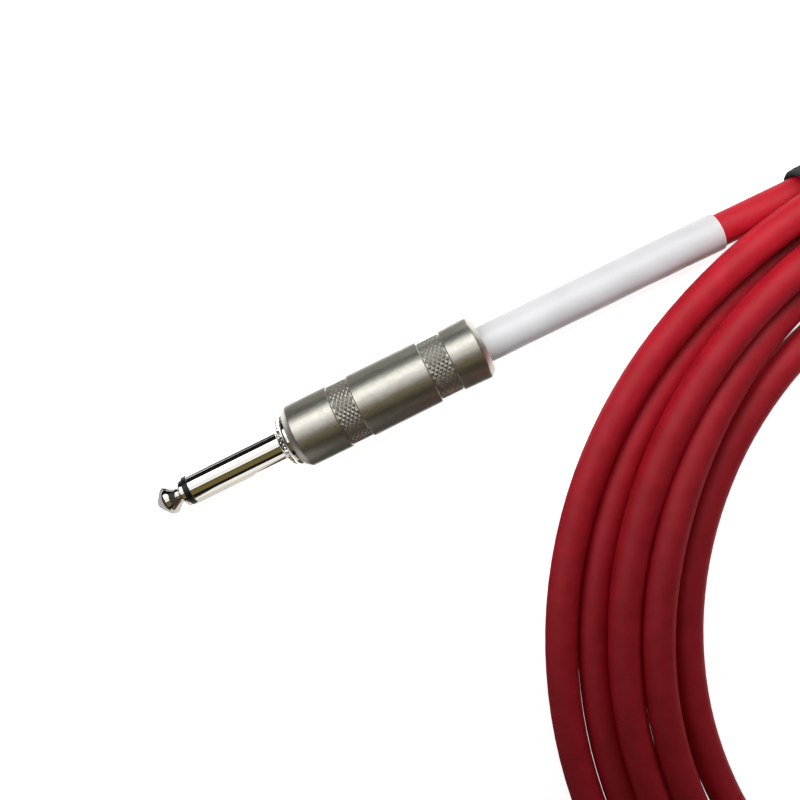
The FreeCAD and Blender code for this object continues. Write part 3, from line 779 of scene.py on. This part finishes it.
def evenly(line, spacing):
    """Points along a line, evenly spaced."""
    travelled = [0.0]
    for before, after in zip(line, line[1:]):
        travelled.append(travelled[-1] + (after - before).length)
    count = max(2, round(travelled[-1] / spacing))
    made = []
    place = 0
    for step in range(count + 1):
        wanted = travelled[-1] * step / count
        while place < len(line) - 2 and travelled[place + 1] < wanted:
            place += 1
        share = (wanted - travelled[place]) / (travelled[place + 1] - travelled[place])
        made.append(line[place].lerp(line[place + 1], share))
    return made


def sweep(name, rings, around=48):
    """A closed tube wall from rings of (centre, direction, radius)."""
    shape = bmesh.new()
    sideways = Vector((0, 0, 1)).cross(rings[0][1]).normalized()
    made = []
    for centre, direction, radius in rings:
        sideways = (sideways - direction * sideways.dot(direction)).normalized()
        upwards = direction.cross(sideways)
        made.append([
            shape.verts.new(centre + radius * (
                sideways * math.cos(2 * math.pi * step / around)
                + upwards * math.sin(2 * math.pi * step / around)))
            for step in range(around)
        ])
    for first, second in zip(made, made[1:] + made[:1]):
        for step in range(around):
            following = (step + 1) % around
            shape.faces.new((first[step], first[following], second[following], second[step]))
    return finished_mesh(name, shape)


def heatshrink_boot(side, line):
    """White tubing shrunk over the cable from inside the barrel, with a cut rear edge."""
    inside = PLUG_PLACES[side] @ Vector((BOOT_FRONT * MM, 0, 0))
    covered = stretch(line, (BOOT_REAR - JACKET_END_REAR) * MM)
    path = evenly([inside] + covered, BOOT_RING_SPACING * MM)
    directions = [(after - before).normalized() for before, after in zip(path, path[1:])]
    directions.append(directions[-1])
    outside = []
    for step, (centre, direction) in enumerate(zip(path, directions)):
        swell = BOOT_RIPPLE * mathutils.noise.noise(Vector((step * BOOT_RIPPLE_PACE, 0, 0)))
        outside.append((centre, direction, (BOOT_RADIUS + swell) * MM))
    outside[-1] = (path[-1], directions[-1], (BOOT_RADIUS - BOOT_LIP) * MM)
    bore = [
        (centre, direction, BOOT_BORE * MM) for centre, direction in zip(path, directions)
    ]
    mesh = smooth(sweep(f"boot_{side}", outside + bore[::-1]), 40)
    piece = new_piece(f"white_boot_{side}", mesh, "white heat-shrink", MAIN_BODY)
    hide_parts(f"heatshrink_boot_{side}")


def belt_outline(distance, steps=10):
    """The line at a distance round the strapped cables, as (y, z) in millimetres."""
    centres = [Vector(centre) for centre in STRAPPED]
    points = []
    for index, centre in enumerate(centres):
        before = centres[index - 1]
        after = centres[(index + 1) % len(centres)]
        arriving = math.atan2(*reversed(centre - before))
        leaving = math.atan2(*reversed(after - centre))
        turn = (leaving - arriving) % (2 * math.pi)
        for step in range(steps + 1):
            angle = arriving + turn * step / steps - math.pi / 2
            points.append(centre + distance * Vector((math.cos(angle), math.sin(angle))))
    return points


def strap_path():
    """The strap's middle line from its hidden end, once round and over itself, as (place, out)."""
    middle = CABLE_RADIUS + STRAP_GAP + STRAP_THICKNESS / 2
    outline = belt_outline(middle)
    ring = evenly(outline + [outline[0]], PILE_SPACING)[:-1]
    top = max(point.y for point in ring)
    start = min(
        (index for index, point in enumerate(ring) if point.y > top - 0.1),
        key=lambda index: abs(ring[index].x - LAP_START))
    lap = next(step for step in range(1, len(ring)) if ring[(start + step) % len(ring)].x < LAP_END)
    places = []
    for step in range(len(ring) + lap):
        here = ring[(start + step) % len(ring)]
        ahead = ring[(start + step + 1) % len(ring)]
        direction = (ahead - here).normalized()
        out = Vector((direction.y, -direction.x))
        climb = min(max((step - len(ring) + LAP_RAMP) / LAP_RAMP, 0), 1)
        lift = (STRAP_THICKNESS + LAP_GAP) * climb ** 2 * (3 - 2 * climb)
        places.append((here + out * lift, out))
    return places


def strap_section(shape, here, out, half_width):
    """Corners round the strap at one place: the pile face, and then the smooth face back."""
    middle = STRAP_FRONT + STRAP_WIDTH / 2
    faces = ([], [])
    for column in range(STRAP_COLUMNS + 1):
        across = 2 * column / STRAP_COLUMNS - 1
        edge = abs(across) ** STRAP_EDGE_POWER
        half = STRAP_THICKNESS / 2 * math.sqrt(1 - STRAP_EDGE_THINNING * edge)
        for face, side in zip(faces, (1, -1)):
            spot = here + out * side * half
            place = Vector((middle + across * half_width, spot.x, spot.y))
            if side == 1:
                pile = PILE_HEIGHT * mathutils.noise.noise(place * PILE_FINENESS) * (1 - edge)
                place += Vector((0, out.x, out.y)) * pile
            face.append(shape.verts.new(place * MM))
    return faces[0] + faces[1][::-1]


def strap():
    """The hook-and-loop strap: one wrap round the bundle, its free end lapped over it."""
    shape = bmesh.new()
    places = strap_path()
    rings = []
    for step, (here, out) in enumerate(places):
        to_end = (len(places) - 1 - step) * PILE_SPACING
        corner = max(TAIL_CORNER - to_end, 0)
        half_width = STRAP_WIDTH / 2 - TAIL_CORNER + math.sqrt(TAIL_CORNER ** 2 - corner ** 2)
        rings.append(strap_section(shape, here, out, half_width))
    for first, second in zip(rings, rings[1:]):
        for step in range(len(first)):
            following = (step + 1) % len(first)
            shape.faces.new((first[step], first[following], second[following], second[step]))
    for end in (rings[0], rings[-1]):
        for step in range(STRAP_COLUMNS):
            shape.faces.new((end[step], end[step + 1], end[-2 - step], end[-1 - step]))
    mesh = smooth(finished_mesh("strap", shape), 60)
    piece = new_piece("hook_and_loop_strap", mesh, "strap loop pile", MAIN_BODY)
    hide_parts("cable_tie")
    return piece


# Pieces that keep their CAD shape

INNER_FINISHES = {
    "tip_insulator": "moulded black",
    "rod_insulator": "moulded black",
    "ground_clamp": "plated strip",
    "insulating_washer": "moulded black",
    "tip_lug": "brass",
    "tip_solder": "solder",
    "ground_solder": "solder",
    "core_conductor": "copper strands",
    "core_insulation": "natural plastic",
    "conductive_layer": "conductive plastic",
    "cable_shield": "copper strands",
    "jacket_end": "red jacket",
    "insulating_liner": "natural plastic",
}


def paint_cad_pieces():
    """Give each piece that keeps its CAD shape its finish."""
    for side in PLUG_PLACES:
        for name, finish in INNER_FINISHES.items():
            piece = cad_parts[f"{name}_{side}"]
            for slot in piece.material_slots:
                slot.material = FINISHES[finish]


# Floor, lamps and camera

FLOOR_HALF = 3.0
FLOOR_DROP = 0.0002
FLOOR_GLOW = 0.88
FILL_LIGHT = 0.06


def looked_at(tree):
    """1 for rays from the camera and off or through shiny things, 0 for the rest."""
    rays = tree.nodes.new("ShaderNodeLightPath")
    seen = calc(tree, "MAXIMUM", rays.outputs["Is Camera Ray"], rays.outputs["Is Glossy Ray"])
    return calc(tree, "MAXIMUM", seen, rays.outputs["Is Transmission Ray"])


def add_floor():
    """A pale floor that reads as white to the camera and in the metal, and keeps the shadow."""
    mesh = bpy.data.meshes.new("floor")
    half = FLOOR_HALF
    corners = [(-half, -half, 0), (half, -half, 0), (half, half, 0), (-half, half, 0)]
    mesh.from_pydata(corners, [], [(0, 1, 2, 3)])
    floor = bpy.data.objects.new("floor", mesh)
    floor.location.z = -FLOOR_DROP
    bpy.context.scene.collection.objects.link(floor)
    made, tree, shader, _ = material("floor")
    shader.inputs["Base Color"].default_value = (0.8, 0.8, 0.8, 1)
    shader.inputs["Roughness"].default_value = 1.0
    shader.inputs["Specular IOR Level"].default_value = 0.0
    shader.inputs["Emission Color"].default_value = (1, 1, 1, 1)
    glow = calc(tree, "MULTIPLY", looked_at(tree), FLOOR_GLOW)
    tree.links.new(glow, shader.inputs["Emission Strength"])
    mesh.materials.append(made)


def add_world():
    """Soft light from all round, white to the camera."""
    world = bpy.data.worlds.new("studio")
    bpy.context.scene.world = world
    world.use_nodes = True
    tree = world.node_tree
    background = tree.nodes["Background"]
    background.inputs["Color"].default_value = (1, 1, 1, 1)
    strength = between(tree, looked_at(tree), FILL_LIGHT, 1.0, start=0.0, end=1.0)
    tree.links.new(strength, background.inputs["Strength"])


# Studio cards, which show only in reflections. They lie round plug A's axis.

PLUG_AXIS = Vector((0.0, PLUG_A_TIP[1], PLUG_A_TIP[2]))
CARD_DISTANCE = 0.5
CARD_HALF_LENGTH = 0.9
CARD_FLOOR_GAP = 0.001


def glow_card(name, corners, colour, strength=1.0):
    """A studio card that shows only in reflections."""
    mesh = bpy.data.meshes.new(name)
    mesh.from_pydata(corners, [], [(0, 1, 2, 3)])
    made = bpy.data.objects.new(name, mesh)
    bpy.context.scene.collection.objects.link(made)
    paint = bpy.data.materials.new(name)
    paint.use_nodes = True
    nodes = paint.node_tree.nodes
    glow = nodes.new("ShaderNodeEmission")
    glow.inputs["Color"].default_value = (*colour, 1)
    glow.inputs["Strength"].default_value = strength
    paint.node_tree.links.new(glow.outputs[0], nodes["Material Output"].inputs["Surface"])
    mesh.materials.append(paint)
    made.visible_camera = False
    made.visible_diffuse = False
    made.visible_transmission = False
    made.visible_shadow = False


def end_card(name, along):
    """A dark upright card across plug A's line."""
    near, far, low, high = -0.7, 0.8, 0.004, 0.6
    glow_card(name, [(along, near, low), (along, far, low), (along, far, high),
                     (along, near, high)], (0.05, 0.045, 0.04))


def floor_card(name, left, right, near, far, colour):
    """A card just over the floor beside plug A, between two distances from its axis."""
    near, far, low = PLUG_AXIS.y + near, PLUG_AXIS.y + far, CARD_FLOOR_GAP
    glow_card(name, [(left, near, low), (right, near, low), (right, far, low), (left, far, low)],
              colour)


def side_card(name, left, right, beside, high, colour):
    """An upright card along plug A's line, at a distance beside its axis."""
    across, low = PLUG_AXIS.y + beside, CARD_FLOOR_GAP
    glow_card(name, [(left, across, low), (right, across, low), (right, across, high),
                     (left, across, high)], colour)


def arch_card(name, near, far, colour, strength=1.0):
    """A long card over plug A, between two angles round its axis.

    Angles are in degrees: 0 is overhead, and more is towards +Y."""
    corners = []
    for angle, along in ((near, -1), (near, 1), (far, 1), (far, -1)):
        turn = math.radians(angle)
        corners.append(PLUG_AXIS + Vector((
            along * CARD_HALF_LENGTH,
            CARD_DISTANCE * math.sin(turn), CARD_DISTANCE * math.cos(turn))))
    glow_card(name, corners, colour, strength)


def add_cards():
    """The studio round plug A: a softbox high on the +Y side, and darker room beside it."""
    arch_card("softbox, dim side", -6, 22, (1, 1, 1))
    arch_card("softbox", 22, 54, (1, 1, 1), 2.4)
    arch_card("dark gap", 54, 100, (0.01, 0.01, 0.01))
    arch_card("overhead edge", -12, -6, (0.03, 0.015, 0.03))
    arch_card("room", -46, -12, (0.16, 0.125, 0.045))
    arch_card("dark room", -68, -46, (0.01, 0.01, 0.01))
    floor_card("shade along the barrel", -0.094, -0.036, -0.22, -0.010, (0.10, 0.095, 0.085))
    floor_card("shade behind the barrel", -0.088, -0.036, 0.012, 0.22, (0.36, 0.35, 0.33))
    floor_card("dark floor behind the sleeve", -0.13, -0.088, 0.023, 0.30, (0.01, 0.01, 0.01))
    floor_card("warm floor along the sleeve", -0.125, -0.094, -0.22, -0.004, (0.74, 0.71, 0.64))
    floor_card("shade ahead of the tip", -0.30, -0.1135, -0.06, 0.06, (0.46, 0.46, 0.50))
    side_card("dark room beside the barrel", -0.15, 0.10, -0.22, 0.10, (0.12, 0.115, 0.10))
    end_card("room ahead of plug A", -0.45)
    end_card("room behind plug A", 0.45)


def add_lamp(name, location, target, size, power):
    """A soft lamp, seen neither by the camera nor in the metal."""
    light = bpy.data.lights.new(name, "AREA")
    light.shape = "RECTANGLE"
    light.size, light.size_y = size
    light.energy = power
    lamp = bpy.data.objects.new(name, light)
    lamp.location = location
    direction = Vector(location) - Vector(target)
    lamp.rotation_mode = "QUATERNION"
    lamp.rotation_quaternion = direction.to_track_quat("Z", "Y")
    lamp.visible_glossy = False
    lamp.visible_camera = False
    bpy.context.scene.collection.objects.link(lamp)


def add_lamps():
    """A low key lamp over plug A's line, with soft light from behind and from the coil's side."""
    add_lamp("key", (-0.02, 0.108, 0.055), (-0.02, 0.108, 0), (0.30, 0.03), 0.112)
    add_lamp("soft light from behind", (-0.03, 0.24, 0.32), (-0.02, 0.08, 0), (0.24, 0.24), 0.06)
    add_lamp("light over the coil's far side", (0.14, -0.08, 0.11), (0.15, -0.08, 0),
             (0.14, 0.14), 0.13)


CAMERA_PLACE = Vector((-0.0493, 0.08505, 0.1845))
CAMERA_TARGET = Vector((-0.05927, 0.08503, 0.0066))
CAMERA_LENS = 40.5
PLUG_TO_IMAGE_RIGHT = math.radians(26.2)


def add_camera():
    """The camera looks down on plug A, turned so that the plug rises to the right."""
    data = bpy.data.cameras.new("camera")
    data.lens = CAMERA_LENS
    data.sensor_width = 36
    data.clip_start = 0.01
    camera = bpy.data.objects.new("camera", data)
    bpy.context.scene.collection.objects.link(camera)
    back = (CAMERA_PLACE - CAMERA_TARGET).normalized()
    right = Vector((math.cos(PLUG_TO_IMAGE_RIGHT), -math.sin(PLUG_TO_IMAGE_RIGHT), 0))
    right = (right - back * right.dot(back)).normalized()
    up = back.cross(right)
    turned = Matrix((right, up, back)).transposed().to_4x4()
    camera.matrix_world = Matrix.Translation(CAMERA_PLACE) @ turned
    bpy.context.scene.camera = camera


add_camera()
tie = strap()
red_cable()
line = centre_line()
heatshrink_boot("a", line)
heatshrink_boot("b", line[::-1])
for side in PLUG_PLACES:
    tip_contact(side)
    sleeve(side)
    barrel(side)
paint_cad_pieces()

add_floor()
add_world()
add_cards()
add_lamps()

bpy.context.scene.view_settings.view_transform = "Standard"
